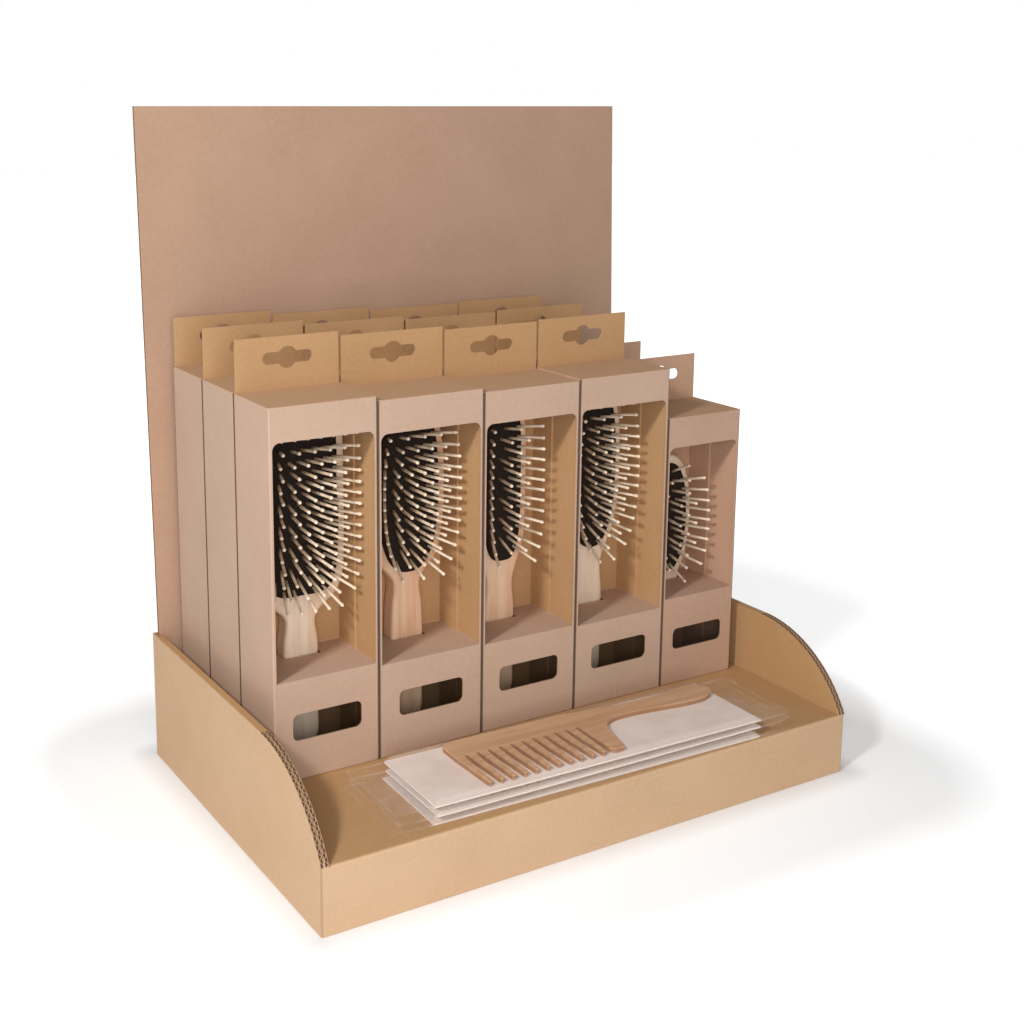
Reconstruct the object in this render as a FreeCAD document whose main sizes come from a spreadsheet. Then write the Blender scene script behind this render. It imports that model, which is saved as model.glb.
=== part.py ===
import FreeCAD, Part
import math
import os
import Sketcher

# Driving dimensions in millimetres and degrees.
SIZES = {
    "board": 2.4,
    "fold_gap": 0.4,
    "fold_radius": 2.0,
    "deck_height": 42.0,
    "deck_slit": 0.5,
    "front_deck": 100.5,
    "wall_height": 90.0,
    "wall_arc_radius": 89.0,
    "play_left": 13.5,
    "play_right": 9.0,
    "back_play": 0.6,
    "header_height": 448.9,
    "header_lean": 2.0,
    "header_side_play": 1.0,
    "header_seat": 0.3,
    "header_foot": 0.1,
    "carton_board": 1.2,
    "carton_fold_radius": 0.9,
    "carton_depth": 51.5,
    "column_gap": 0.4,
    "row_gap": 0.5,
    "loose_row_gap": 11.5,
    "carton_width_1": 72.3,
    "carton_width_2": 76.5,
    "carton_width_3": 75.0,
    "carton_width_4": 76.0,
    "carton_width_5": 65.6,
    "carton_height_1": 237.0,
    "carton_height_2": 234.0,
    "carton_height_3": 231.5,
    "carton_height_4": 232.5,
    "carton_height_5": 197.0,
    "shelf_height_1": 65.5,
    "shelf_height_2": 63.0,
    "shelf_height_3": 61.5,
    "shelf_height_4": 60.0,
    "shelf_height_5": 65.0,
    "window_jamb": 2.0,
    "window_top_rail": 21.5,
    "window_corner": 5.0,
    "low_window_width": 47.5,
    "low_window_height": 17.2,
    "low_window_corner": 4.0,
    "low_window_rise": 26.0,
    "tab_height": 33.0,
    "tab_inset": 0.8,
    "hang_slot_length": 34.0,
    "hang_slot_height": 7.7,
    "hang_round": 14.0,
    "hang_drop": 13.5,
    "glue_flap": 22.0,
    "shelf_slot_play": 2.0,
    "brush_back_gap": 0.3,
    "brush_thickness": 14.0,
    "brush_edge_radius": 2.5,
    "brush_foot_gap": 0.3,
    "brush_top_room": 3.0,
    "handle_width": 24.0,
    "neck_width": 20.5,
    "cushion_rim": 6.4,
    "cushion_depth": 2.5,
    "cushion_play": 0.1,
    "cushion_rise": 3.0,
    "cushion_crown": 1.5,
    "pin_diameter": 1.9,
    "pin_set": 2.0,
    "pin_pitch": 5.6,
    "pin_row_step": 6.9,
    "pin_edge": 4.2,
    "pin_front_room": 10.8,
    "pin_fan": 28.0,
    "head_room_1": 3.2,
    "head_room_2": 8.4,
    "head_room_3": 15.6,
    "head_room_4": 11.0,
    "head_room_5": 10.0,
    "head_shift_1": 0.0,
    "head_shift_2": 2.8,
    "head_shift_3": 0.0,
    "head_shift_4": 0.0,
    "head_shift_5": 0.0,
    "head_rise_1": 34.0,
    "head_rise_2": 39.0,
    "head_rise_3": 36.0,
    "head_rise_4": 35.0,
    "head_rise_5": 0.6,
    "small_low_window_width": 45.0,
    "small_low_window_height": 15.6,
    "small_brush_foot": 13.0,
    "small_brush_top_room": 36.0,
    "card_length": 246.0,
    "card_width": 66.0,
    "card_board": 1.0,
    "card_front": 5.5,
    "card_shift": 1.5,
    "film": 0.3,
    "film_play": 0.2,
    "film_tail": 26.0,
    "pack_gap": 0.1,
    "comb_thickness": 3.6,
    "comb_length": 206.0,
    "comb_spine": 20.0,
    "comb_tooth_length": 38.0,
    "comb_tooth_pitch": 8.3,
    "comb_tooth_root": 5.6,
    "comb_tooth_tip": 2.4,
    "comb_guard": 13.0,
    "comb_neck": 13.5,
    "comb_grip": 20.0,
    "comb_corner": 6.0,
    "comb_tooth_overlap": 1.0,
    "comb_guard_bevel": 3.0,
    "comb_guard_drop": 1.5,
    "comb_waist_drop": 5.0,
    "comb_back_drop": 2.5,
    "comb_grip_drop": 3.0,
    "comb_end_room": 2.0,
    "comb_side_room": 2.5,
}

COLUMNS = 5
ROWS = 3
SMALL_COLUMN = 5
SMALL_COLUMN_ROWS = 2
PACKS = 3
TEETH = 11
PACK_TURNS = (-1.7, -0.9, -1.4)
PACK_SHIFTS = (0.0, 1.6, 0.8)
HEAD_ROUNDNESS = {1: 5.0, 2: 2.5, 3: 3.4, 4: 2.4, 5: 2.2}
NECK_BLEND = 3.0
OUTLINE_STEPS = 26
OVAL_STEPS = 28
PIN_SIDES = 6
PIN_DIP_CURVE = 2.5
COMB_WAIST = 0.32
GUARD_TOE = 0.3
GUARD_HEEL = 0.75
THROAT_RUN = 0.08
THROAT_RISE = 0.1
GRIP_NOSE = 0.2
GRIP_BACK = 0.3
SAME = 1e-6
SAME_DEPTH = 1e-4

doc = FreeCAD.newDocument("display_stand")
sheet = doc.addObject("Spreadsheet::Sheet", "Sizes")
for row, (alias, size) in enumerate(SIZES.items(), 1):
    sheet.set(f"A{row}", alias)
    sheet.set(f"B{row}", str(size))
    sheet.setAlias(f"B{row}", alias)
doc.recompute()


def s(alias):
    """The expression that reads one driving dimension."""
    return f"Sizes.{alias}"


def number(expression):
    """The value of an expression, in millimetres or degrees."""
    return float(sheet.evalExpression(str(expression)))


# Lengths that follow from the driving dimensions, as expressions.
SIDE_PACK = f"(2 * {s('board')} + {s('fold_gap')})"
COLUMN_WIDTHS = [s(f"carton_width_{column}") for column in range(1, COLUMNS + 1)]
STOCK_WIDTH = f"({' + '.join(COLUMN_WIDTHS)} + {COLUMNS - 1} * {s('column_gap')})"
TRAY_WIDTH = f"(2 * {SIDE_PACK} + {s('play_left')} + {s('play_right')} + {STOCK_WIDTH})"
STOCK_DEPTH = f"({ROWS} * {s('carton_depth')} + {ROWS - 1} * {s('row_gap')})"
DECK_BACK = f"({s('front_deck')} + {STOCK_DEPTH} + {s('back_play')})"
LEAN_RUN = f"(({s('wall_height')} - {s('board')}) * tan({s('header_lean')} * 1 deg))"
HEADER_SLANT = f"({s('board')} / cos({s('header_lean')} * 1 deg))"
SLOT_DEPTH = f"(2 * {s('header_seat')} + {HEADER_SLANT} + {LEAN_RUN})"
TRAY_DEPTH = f"({DECK_BACK} + {SLOT_DEPTH} + {s('board')})"
LEFT = f"(-{TRAY_WIDTH} / 2)"
FRONT = f"(-{TRAY_DEPTH} / 2)"


def new_body(name):
    body = doc.addObject("PartDesign::Body", name)
    body.Label = name
    return body


def bind(thing, **expressions):
    """Ties properties to expressions; a double underscore in a name stands for a dot."""
    for prop, expression in expressions.items():
        thing.setExpression(prop.replace("__", "."), str(expression))


def box(body, kind, name, corner, size):
    """A box feature that adds to the body or cuts it, from its lowest corner and its size."""
    feature = body.newObject(f"PartDesign::{kind}Box", name)
    bind(feature, Length=size[0], Width=size[1], Height=size[2])
    bind(feature, Placement__Base__x=corner[0], Placement__Base__y=corner[1], Placement__Base__z=corner[2])
    body.Tip = feature
    return feature


def round_edges(body, name, radius, wanted):
    """A fillet on the edges of the body that the function wanted picks out."""
    doc.recompute()
    base = body.Tip
    picked = [f"Edge{i}" for i, edge in enumerate(base.Shape.Edges, 1) if wanted(edge)]
    fillet = body.newObject("PartDesign::Fillet", name)
    fillet.Base = (base, picked)
    bind(fillet, Radius=radius)
    body.Tip = fillet
    return fillet


def runs_along(edge, axis):
    """True for a straight edge that lies along X, Y or Z."""
    if not isinstance(edge.Curve, Part.Line):
        return False
    ends = edge.Vertexes[0].Point - edge.Vertexes[-1].Point
    parts = [abs(ends.x), abs(ends.y), abs(ends.z)]
    along = parts.pop("XYZ".index(axis))
    return along > SAME and max(parts) < SAME


def plane_of(body, role):
    """One of the body's own origin planes."""
    return next(item for item in body.Origin.OriginFeatures if item.Role == role)


def new_sketch(body, name, role):
    sketch = body.newObject("Sketcher::SketchObject", name)
    sketch.AttachmentSupport = [(plane_of(body, role), "")]
    sketch.MapMode = "FlatFace"
    return sketch


def hold(sketch, kind, name, expression, *where):
    """A dimension of the sketch, tied to an expression."""
    index = sketch.addConstraint(Sketcher.Constraint(kind, *where, number(expression)))
    sketch.renameConstraint(index, name)
    sketch.setExpression(f"Constraints.{name}", str(expression))


def point(x, y):
    return FreeCAD.Vector(x, y, 0)


def tray():
    """One folded sheet: base, double side walls, back wall, and a front wall that turns in as a deck."""
    body = new_body("tray")
    t = s("board")
    width, depth, height = TRAY_WIDTH, TRAY_DEPTH, s("wall_height")
    inner_left = f"({LEFT} + {SIDE_PACK})"
    inner_width = f"({width} - 2 * {SIDE_PACK})"
    deck_width = f"({inner_width} - 2 * {s('deck_slit')})"
    box(body, "Additive", "blank", (LEFT, FRONT, 0), (width, depth, height))
    round_edges(body, "corner_folds", s("fold_radius"), lambda edge: runs_along(edge, "Z"))
    above = f"({height} - {s('deck_height')})"
    box(body, "Subtractive", "room_above_deck", (inner_left, f"({FRONT} - {t})", s("deck_height")),
        (inner_width, f"({DECK_BACK} + {t})", f"({above} + {t})"))
    box(body, "Subtractive", "header_slot", (f"({LEFT} + {t})", f"({FRONT} + {DECK_BACK})", t),
        (f"({width} - 2 * {t})", SLOT_DEPTH, height))
    box(body, "Subtractive", "room_below_deck", (inner_left, f"({FRONT} + {t})", t),
        (inner_width, f"({DECK_BACK} - 2 * {t})", f"({s('deck_height')} - 2 * {t})"))
    right_slit = f"({LEFT} + {width} - {SIDE_PACK} - {s('deck_slit')})"
    for side, start in (("left", inner_left), ("right", right_slit)):
        box(body, "Subtractive", f"deck_slit_{side}", (start, f"({FRONT} + {t})", t),
            (s("deck_slit"), f"({DECK_BACK} - {t})", s("deck_height")))
    right_gap = f"({LEFT} + {width} - {t} - {s('fold_gap')})"
    for side, start in (("left", f"({LEFT} + {t})"), ("right", right_gap)):
        box(body, "Subtractive", f"fold_gap_{side}", (start, f"({FRONT} + {t})", t),
            (s("fold_gap"), f"({DECK_BACK} - {t})", f"({height} - 2 * {t})"))
    arc_cut(body)
    front_y = number(FRONT)
    deck_z = number(s("deck_height"))
    half_deck = number(deck_width) / 2
    round_edges(body, "deck_fold", s("fold_radius"), lambda edge: (
        runs_along(edge, "X") and edge.Length > half_deck
        and abs(edge.Vertexes[0].Y - front_y) < SAME and abs(edge.Vertexes[0].Z - deck_z) < SAME))
    return body


def arc_cut(body):
    """Cuts the large front arc of the side walls, from the deck's front edge up to the straight top."""
    radius = number(s("wall_arc_radius"))
    front = number(FRONT)
    low = number(s("deck_height"))
    top = number(s("wall_height"))
    run = math.sqrt(radius ** 2 - (radius - top + low) ** 2)
    spare = number(s("board"))
    sketch = new_sketch(body, "wall_arc", "YZ_Plane")
    start = math.pi - math.asin((low - top + radius) / radius)
    circle = Part.Circle(point(front + run, top - radius), FreeCAD.Vector(0, 0, 1), radius)
    arc = sketch.addGeometry(Part.ArcOfCircle(circle, math.pi / 2, start))
    corners = [(front, low), (front - spare, low), (front - spare, top + spare),
               (front + run, top + spare), (front + run, top)]
    lines = [sketch.addGeometry(Part.LineSegment(point(*a), point(*b))) for a, b in zip(corners, corners[1:])]
    for before, after in zip(lines, lines[1:]):
        sketch.addConstraint(Sketcher.Constraint("Coincident", before, 2, after, 1))
    sketch.addConstraint(Sketcher.Constraint("Coincident", arc, 2, lines[0], 1))
    sketch.addConstraint(Sketcher.Constraint("Coincident", arc, 1, lines[-1], 2))
    sketch.addConstraint(Sketcher.Constraint("Vertical", arc, 3, arc, 1))
    for line in (lines[0], lines[2]):
        sketch.addConstraint(Sketcher.Constraint("Horizontal", line))
    for line in (lines[1], lines[3]):
        sketch.addConstraint(Sketcher.Constraint("Vertical", line))
    hold(sketch, "Radius", "arc_radius", s("wall_arc_radius"), arc)
    hold(sketch, "DistanceX", "front_edge", f"({TRAY_DEPTH} / 2)", arc, 2, -1, 1)
    hold(sketch, "DistanceY", "deck_edge", s("deck_height"), -1, 1, arc, 2)
    hold(sketch, "DistanceY", "wall_top", s("wall_height"), -1, 1, arc, 1)
    hold(sketch, "DistanceX", "spare_width", s("board"), lines[0], 2, lines[0], 1)
    hold(sketch, "DistanceY", "spare_height", s("board"), lines[-1], 2, lines[-1], 1)
    pocket = body.newObject("PartDesign::Pocket", "wall_arc_cut")
    pocket.Profile = sketch
    pocket.Type = 1
    pocket.Midplane = True
    body.Tip = pocket


def header_panel():
    """A flat sheet that stands in the slot behind the deck and leans back on the top of the back wall."""
    body = new_body("header_panel")
    width = f"({TRAY_WIDTH} - 2 * {s('board')} - 2 * {s('header_side_play')})"
    box(body, "Additive", "sheet", (f"(-{width} / 2)", 0, 0), (width, s("board"), s("header_height")))
    body.Placement.Rotation = FreeCAD.Rotation(FreeCAD.Vector(-1, 0, 0), number(s("header_lean")))
    foot_rise = f"({s('board')} * sin({s('header_lean')} * 1 deg))"
    bind(body, Placement__Rotation__Angle=f"{s('header_lean')} * 1 deg",
         Placement__Base__y=f"({FRONT} + {DECK_BACK} + {s('header_seat')})",
         Placement__Base__z=f"({s('board')} + {foot_rise} + {s('header_foot')})")
    return body


def across(body, name, middle, radius):
    """A round cut along Y through the carton's back panel, about the point middle."""
    t = s("carton_board")
    cut = body.newObject("PartDesign::SubtractiveCylinder", name)
    cut.Placement.Rotation = FreeCAD.Rotation(FreeCAD.Vector(1, 0, 0), 90)
    bind(cut, Radius=radius, Height=f"(3 * {t})", Placement__Base__x=middle[0],
         Placement__Base__y=f"({s('carton_depth')} + {t})", Placement__Base__z=middle[1])
    body.Tip = cut


def carton_name(row, column):
    return f"carton_r{row}_c{column}"


def column_left(column):
    """The left side of a column of cartons."""
    terms = [f"{width} + {s('column_gap')}" for width in COLUMN_WIDTHS[:column - 1]]
    return f"({' + '.join([LEFT, SIDE_PACK, s('play_left')] + terms)})"


def row_front(row, column):
    """The front face of a row of cartons; the small column's second carton stands a little further back."""
    gap = s("loose_row_gap") if column == SMALL_COLUMN else s("row_gap")
    return f"({FRONT} + {s('front_deck')} + {row - 1} * ({s('carton_depth')} + {gap}))"


def rows_in(column):
    return SMALL_COLUMN_ROWS if column == SMALL_COLUMN else ROWS


def brush_middle(column):
    """The brush's middle, from the carton's left side."""
    return f"({s(f'carton_width_{column}')} / 2 + {s(f'head_shift_{column}')})"


def carton(column):
    """The front carton of a column: a folded sleeve with two windows, a shelf, a glue flap and a hang tab."""
    name = carton_name(1, column)
    body = new_body(name)
    t, depth = s("carton_board"), s("carton_depth")
    width, height = s(f"carton_width_{column}"), s(f"carton_height_{column}")
    shelf = s(f"shelf_height_{column}")
    jamb, inset = s("window_jamb"), s("tab_inset")
    box(body, "Additive", f"{name}_blank", (0, 0, 0), (width, depth, height))
    round_edges(body, f"{name}_folds", s("carton_fold_radius"), lambda edge: (
        runs_along(edge, "Z") or (runs_along(edge, "X") and abs(edge.Vertexes[0].Y) < SAME)))
    box(body, "Subtractive", f"{name}_hollow", (t, t, t),
        (f"({width} - 2 * {t})", f"({depth} - 2 * {t})", f"({height} - 2 * {t})"))
    box(body, "Additive", f"{name}_tab", (inset, f"({depth} - {t})", f"({height} - {t})"),
        (f"({width} - 2 * {inset})", t, f"({s('tab_height')} + {t})"))
    hang_slot(body, name, width, f"({height} + {s('tab_height')} - {s('hang_drop')})")
    window_height = f"({height} - {s('window_top_rail')} - {shelf})"
    box(body, "Subtractive", f"{name}_window", (jamb, f"(-{t})", shelf),
        (f"({width} - 2 * {jamb})", f"(2 * {t})", window_height))
    window_top = number(f"({height} - {s('window_top_rail')})")
    panel = number(t)
    round_edges(body, f"{name}_window_corners", s("window_corner"), lambda edge: (
        runs_along(edge, "Y") and edge.Vertexes[0].Y < panel + SAME and edge.Vertexes[-1].Y < panel + SAME
        and abs(edge.Vertexes[0].Z - window_top) < SAME))
    low_width, low_height = s("low_window_width"), s("low_window_height")
    if column == SMALL_COLUMN:
        low_width, low_height = s("small_low_window_width"), s("small_low_window_height")
    low_base = s("low_window_rise")
    box(body, "Subtractive", f"{name}_low_window", (f"({width} / 2 - {low_width} / 2)", f"(-{t})", low_base),
        (low_width, f"(2 * {t})", low_height))
    low_bottom = number(low_base)
    low_top = number(f"({low_base} + {low_height})")
    round_edges(body, f"{name}_low_corners", s("low_window_corner"), lambda edge: (
        runs_along(edge, "Y") and edge.Vertexes[0].Y < panel + SAME and edge.Vertexes[-1].Y < panel + SAME
        and min(abs(edge.Vertexes[0].Z - low_bottom), abs(edge.Vertexes[0].Z - low_top)) < SAME))
    box(body, "Additive", f"{name}_shelf", (t, t, f"({shelf} - {t})"),
        (f"({width} - 2 * {t})", f"({depth} - 2 * {t})", t))
    box(body, "Additive", f"{name}_flap", (f"({width} - 2 * {t})", f"({depth} - {t} - {s('glue_flap')})", t),
        (t, s("glue_flap"), f"({height} - 2 * {t})"))
    slot_width = f"({s('handle_width')} + {s('shelf_slot_play')})"
    slot_depth = f"({s('brush_back_gap')} + {s('brush_thickness')} + {s('shelf_slot_play')})"
    slot_left = f"({brush_middle(column)} - {slot_width} / 2)"
    box(body, "Subtractive", f"{name}_shelf_slot",
        (slot_left, f"({depth} - {t} - {slot_depth})", f"({shelf} - 2 * {t})"),
        (slot_width, slot_depth, f"(3 * {t})"))
    bind(body, Placement__Base__x=column_left(column), Placement__Base__y=row_front(1, column),
         Placement__Base__z=s("deck_height"))
    return body


def hang_slot(body, name, width, middle_height):
    """The hang slot of the tab: a long slot with round ends and a wider round in its middle."""
    t = s("carton_board")
    length, height = s("hang_slot_length"), s("hang_slot_height")
    reach = f"(({length} - {height}) / 2)"
    box(body, "Subtractive", f"{name}_hang_slot",
        (f"({width} / 2 - {reach})", f"({s('carton_depth')} - 2 * {t})", f"({middle_height} - {height} / 2)"),
        (f"(2 * {reach})", f"(3 * {t})", height))
    across(body, f"{name}_slot_left", (f"({width} / 2 - {reach})", middle_height), f"({height} / 2)")
    across(body, f"{name}_slot_right", (f"({width} / 2 + {reach})", middle_height), f"({height} / 2)")
    across(body, f"{name}_slot_round", (f"({width} / 2)", middle_height), f"({s('hang_round')} / 2)")


def copy_of(body, name):
    """A second piece of the same shape, as a body that starts from the first one."""
    twin = new_body(name)
    base = doc.addObject("PartDesign::FeatureBase", f"{name}_shape")
    base.BaseFeature = body.Tip
    base.setExpression("Placement", f"{body.Tip.Name}.Placement")
    twin.Group = [base]
    twin.Tip = base
    return twin


def rear_cartons(column, front_carton):
    """The cartons behind the front one, in the same column."""
    for row in range(2, rows_in(column) + 1):
        twin = copy_of(front_carton, carton_name(row, column))
        bind(twin, Placement__Base__x=column_left(column), Placement__Base__y=row_front(row, column),
             Placement__Base__z=s("deck_height"))


def brush_sizes(column):
    """The brush's own sizes in its column: heights are measured from the end of its handle."""
    t = number(s("carton_board"))
    inner_height = number(s(f"carton_height_{column}")) - 2 * t
    inner_width = number(s(f"carton_width_{column}")) - 2 * t
    small = column == SMALL_COLUMN
    foot = number(s("small_brush_foot") if small else s("brush_foot_gap"))
    top_room = number(s("small_brush_top_room") if small else s("brush_top_room"))
    shelf = number(s(f"shelf_height_{column}")) - t - foot
    bottom = shelf + number(s(f"head_rise_{column}"))
    top = inner_height - foot - top_room
    return {
        "shelf": shelf,
        "middle": (bottom + top) / 2,
        "half_height": (top - bottom) / 2,
        "half_width": inner_width / 2 - number(s(f"head_room_{column}")),
        "roundness": HEAD_ROUNDNESS[column],
        "top": top,
    }


def smooth(x):
    """0 below 0, 1 above 1, and a soft step in between."""
    x = min(max(x, 0.0), 1.0)
    return x * x * (3 - 2 * x)


def half_width_at(z, brush):
    """Half the brush's width at a height: a handle strip and a rounded head, blended softly at the neck."""
    grip = number(s("handle_width")) / 2
    neck = number(s("neck_width")) / 2
    head_low = brush["middle"] - brush["half_height"]
    strip = grip + (neck - grip) * smooth((z - brush["shelf"]) / max(head_low - brush["shelf"], 1.0))
    strip *= 1 - smooth((z - head_low) / brush["half_height"])
    if z < grip:
        strip *= math.sqrt(max(1 - (1 - z / grip) ** 2, 0.0))
    across_head = abs(z - brush["middle"]) / brush["half_height"]
    power = brush["roundness"]
    head = 0.0
    if across_head < 1:
        head = brush["half_width"] * (1 - across_head ** power) ** (1 / power)
    return (strip ** NECK_BLEND + head ** NECK_BLEND) ** (1 / NECK_BLEND)


def closed_curve(points):
    curve = Part.BSplineCurve()
    curve.interpolate(points, PeriodicFlag=True)
    return Part.Wire([curve.toShape()])


def upright(x, z):
    return FreeCAD.Vector(x, 0, z)


def brush_outline(brush):
    """The closed outline of the wooden body, seen from the front."""
    turns = [math.pi * i / OUTLINE_STEPS for i in range(1, OUTLINE_STEPS)]
    heights = [brush["top"] * (1 - math.cos(turn)) / 2 for turn in turns]
    right = [upright(half_width_at(z, brush), z) for z in heights]
    left = [upright(-p.x, p.z) for p in reversed(right)]
    return closed_curve([upright(0, 0)] + right + [upright(0, brush["top"])] + left)


def oval(brush, inset):
    """The head's rounded outline, drawn in by inset."""
    power = 2 / brush["roundness"]
    points = []
    for i in range(OVAL_STEPS):
        turn = 2 * math.pi * i / OVAL_STEPS
        c, d = math.cos(turn), math.sin(turn)
        x = (brush["half_width"] - inset) * math.copysign(abs(c) ** power, c)
        z = (brush["half_height"] - inset) * math.copysign(abs(d) ** power, d)
        points.append(upright(x, brush["middle"] + z))
    return closed_curve(points)


def slab(outline, back, front):
    """The outline made solid between two depths, where front lies towards the viewer."""
    face = Part.Face(outline)
    solid = face.extrude(FreeCAD.Vector(0, back - front, 0))
    solid.translate(FreeCAD.Vector(0, -back, 0))
    return solid


def loops_at(solid, depth):
    """The edges of a slab's outline at one depth."""
    def lies_at(edge):
        bounds = edge.BoundBox
        return max(abs(bounds.YMin + depth), abs(bounds.YMax + depth)) < SAME_DEPTH

    return [edge for edge in solid.Edges if lies_at(edge)]


def brush_blank(brush):
    """The wooden body with soft outer edges, before the cushion's recess is cut."""
    thickness = number(s("brush_thickness"))
    solid = slab(brush_outline(brush), 0, thickness)
    return solid.makeFillet(number(s("brush_edge_radius")), loops_at(solid, 0) + loops_at(solid, thickness))


def recess(brush):
    """The pocket in the head's face that the cushion sits in."""
    thickness = number(s("brush_thickness"))
    rim = number(s("cushion_rim")) - number(s("cushion_play"))
    return slab(oval(brush, rim), thickness - number(s("cushion_depth")), thickness)


def cushion(brush, pins):
    """The rubber cushion: it fills the recess, stands proud and holds the pins in sockets."""
    floor = number(s("brush_thickness")) - number(s("cushion_depth"))
    face = number(s("brush_thickness")) + number(s("cushion_rise"))
    solid = slab(oval(brush, number(s("cushion_rim"))), floor, face).cut(pins)
    loops = loops_at(solid, face)
    outside = max(loops, key=lambda edge: edge.Length)
    return solid.makeFillet(number(s("cushion_crown")), [outside])


def pin_places(brush):
    """Where the pins stand, as offsets from the cushion's middle: every row runs from edge to edge.

    Each second row has one gap less than fits, so neighbouring rows stand between each other.
    """
    pitch = number(s("pin_pitch"))
    inset = number(s("cushion_rim")) + number(s("pin_edge"))
    a, b = brush["half_width"] - inset, brush["half_height"] - inset
    step = number(s("pin_row_step"))
    power = brush["roundness"]
    places = []
    rows = int(b / step)
    for j in range(-rows, rows + 1):
        z = j * step
        reach = a * (1 - (abs(z) / b) ** power) ** (1 / power)
        gaps = max(int(2 * reach / pitch) - j % 2, 0)
        for i in range(gaps + 1):
            x = reach * (2 * i / gaps - 1) if gaps else 0.0
            places.append((x, z, x / a, z / b))
    return places


def pin(place, brush):
    """One wooden pin as a six-sided prism that leans outwards, more so near the cushion's edge."""
    x, z, across_share, along_share = place
    t = number(s("carton_board"))
    reach = (number(s("carton_depth")) - 2 * t - number(s("brush_back_gap")) - number(s("pin_front_room")))
    root = number(s("brush_thickness")) + number(s("cushion_rise")) - number(s("pin_set"))
    fan = math.radians(number(s("pin_fan")))
    lean = math.tan(fan * across_share)
    dip = math.tan(fan * math.copysign(abs(along_share) ** PIN_DIP_CURVE, along_share))
    direction = FreeCAD.Vector(lean, -1, dip).normalize()
    side = direction.cross(FreeCAD.Vector(0, 0, 1)).normalize()
    rise = side.cross(direction)
    middle = FreeCAD.Vector(x, -root, brush["middle"] + z)
    radius = number(s("pin_diameter")) / 2
    corners = []
    for k in range(PIN_SIDES + 1):
        turn = 2 * math.pi * (k % PIN_SIDES) / PIN_SIDES
        corners.append(middle + side * (radius * math.cos(turn)) + rise * (radius * math.sin(turn)))
    return Part.Face(Part.makePolygon(corners)).extrude(direction * (reach - root))


def place_brush(thing, row, column):
    """Stands a brush piece in its carton, with its back against the carton's back."""
    t = s("carton_board")
    x = f"{column_left(column)} + {brush_middle(column)}"
    y = f"{row_front(row, column)} + {s('carton_depth')} - {t} - {s('brush_back_gap')}"
    foot = s("small_brush_foot") if column == SMALL_COLUMN else s("brush_foot_gap")
    z = f"{s('deck_height')} + {t} + {foot}"
    bind(thing, Placement__Base__x=x, Placement__Base__y=y, Placement__Base__z=z)


def shaped(name, shape):
    feature = doc.addObject("Part::Feature", name)
    feature.Label = name
    feature.Shape = shape
    return feature


def brushes(column):
    """The front brush of a column in three pieces, and the hidden ones behind it as one solid each."""
    brush = brush_sizes(column)
    blank = brush_blank(brush)
    pins = Part.makeCompound([pin(place, brush) for place in pin_places(brush)])
    wood = blank.cut(recess(brush))
    for kind, shape in (("body", wood), ("cushion", cushion(brush, pins)), ("pins", pins)):
        piece = shaped(f"brush_c{column}_{kind}", shape)
        place_brush(piece, 1, column)
    face = number(s("brush_thickness"))
    boss = slab(oval(brush, number(s("cushion_rim"))), face, face + number(s("cushion_rise")))
    whole = blank.fuse(boss)
    for row in range(2, rows_in(column) + 1):
        piece = shaped(f"brush_r{row}_c{column}", whole)
        place_brush(piece, row, column)


PACK_HEIGHT = f"(2 * {s('film')} + {s('card_board')} + {s('comb_thickness')} + {s('film_play')})"


def place_pack(thing, level, rise):
    """Puts a piece of a comb pack on its level of the stack, with the pack's small turn."""
    thing.Placement.Rotation = FreeCAD.Rotation(FreeCAD.Vector(0, 0, 1), PACK_TURNS[level])
    y = f"({FRONT} + {s('card_front')} + {s('card_width')} / 2)"
    z = f"({s('deck_height')} + {level} * ({PACK_HEIGHT} + {s('pack_gap')}) + {rise})"
    x = f"({s('card_shift')} + {PACK_SHIFTS[level]})"
    bind(thing, Placement__Base__x=x, Placement__Base__y=y, Placement__Base__z=z)


def sleeve(level):
    """A clear film sleeve: a thin hollow about the card and comb, and a flat sealed tail at each end."""
    body = new_body(f"comb_sleeve_{level + 1}")
    film, play = s("film"), s("film_play")
    length, width = f"({s('card_length')} + 2 * {play})", f"({s('card_width')} + 2 * {play})"
    outer_length, outer_width = f"({length} + 2 * {film})", f"({width} + 2 * {film})"
    box(body, "Additive", f"sleeve_{level}_outside", (f"(-{outer_length} / 2)", f"(-{outer_width} / 2)", 0),
        (outer_length, outer_width, PACK_HEIGHT))
    box(body, "Subtractive", f"sleeve_{level}_inside", (f"(-{length} / 2)", f"(-{width} / 2)", film),
        (length, width, f"({PACK_HEIGHT} - 2 * {film})"))
    tail = s("film_tail")
    for side, start in (("left", f"(-{outer_length} / 2 - {tail})"), ("right", f"({outer_length} / 2)")):
        box(body, "Additive", f"sleeve_{level}_{side}_tail", (start, f"(-{outer_width} / 2)", 0),
            (tail, outer_width, f"(2 * {film})"))
    place_pack(body, level, 0)


def card(level):
    """The flat card that stiffens a comb pack."""
    body = new_body(f"comb_card_{level + 1}")
    length, width = s("card_length"), s("card_width")
    box(body, "Additive", f"card_{level}_sheet", (f"(-{length} / 2)", f"(-{width} / 2)", 0),
        (length, width, s("card_board")))
    place_pack(body, level, s("film"))


def tooth(start, root, tip, spine, length):
    """One tapered tooth with a round tip, hanging from the spine at start."""
    half_root, half_tip = root / 2, tip / 2
    low = -spine - length + half_tip
    high = number(s("comb_tooth_overlap")) - spine
    corners = [(start - half_root, high), (start - half_tip, low), (start, low - half_tip),
               (start + half_tip, low), (start + half_root, high)]
    a, b, c, d, e = (point(*corner) for corner in corners)
    edges = [Part.LineSegment(a, b), Part.Arc(b, c, d), Part.LineSegment(d, e), Part.LineSegment(e, a)]
    return Part.Face(Part.Wire([edge.toShape() for edge in edges]))


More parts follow.
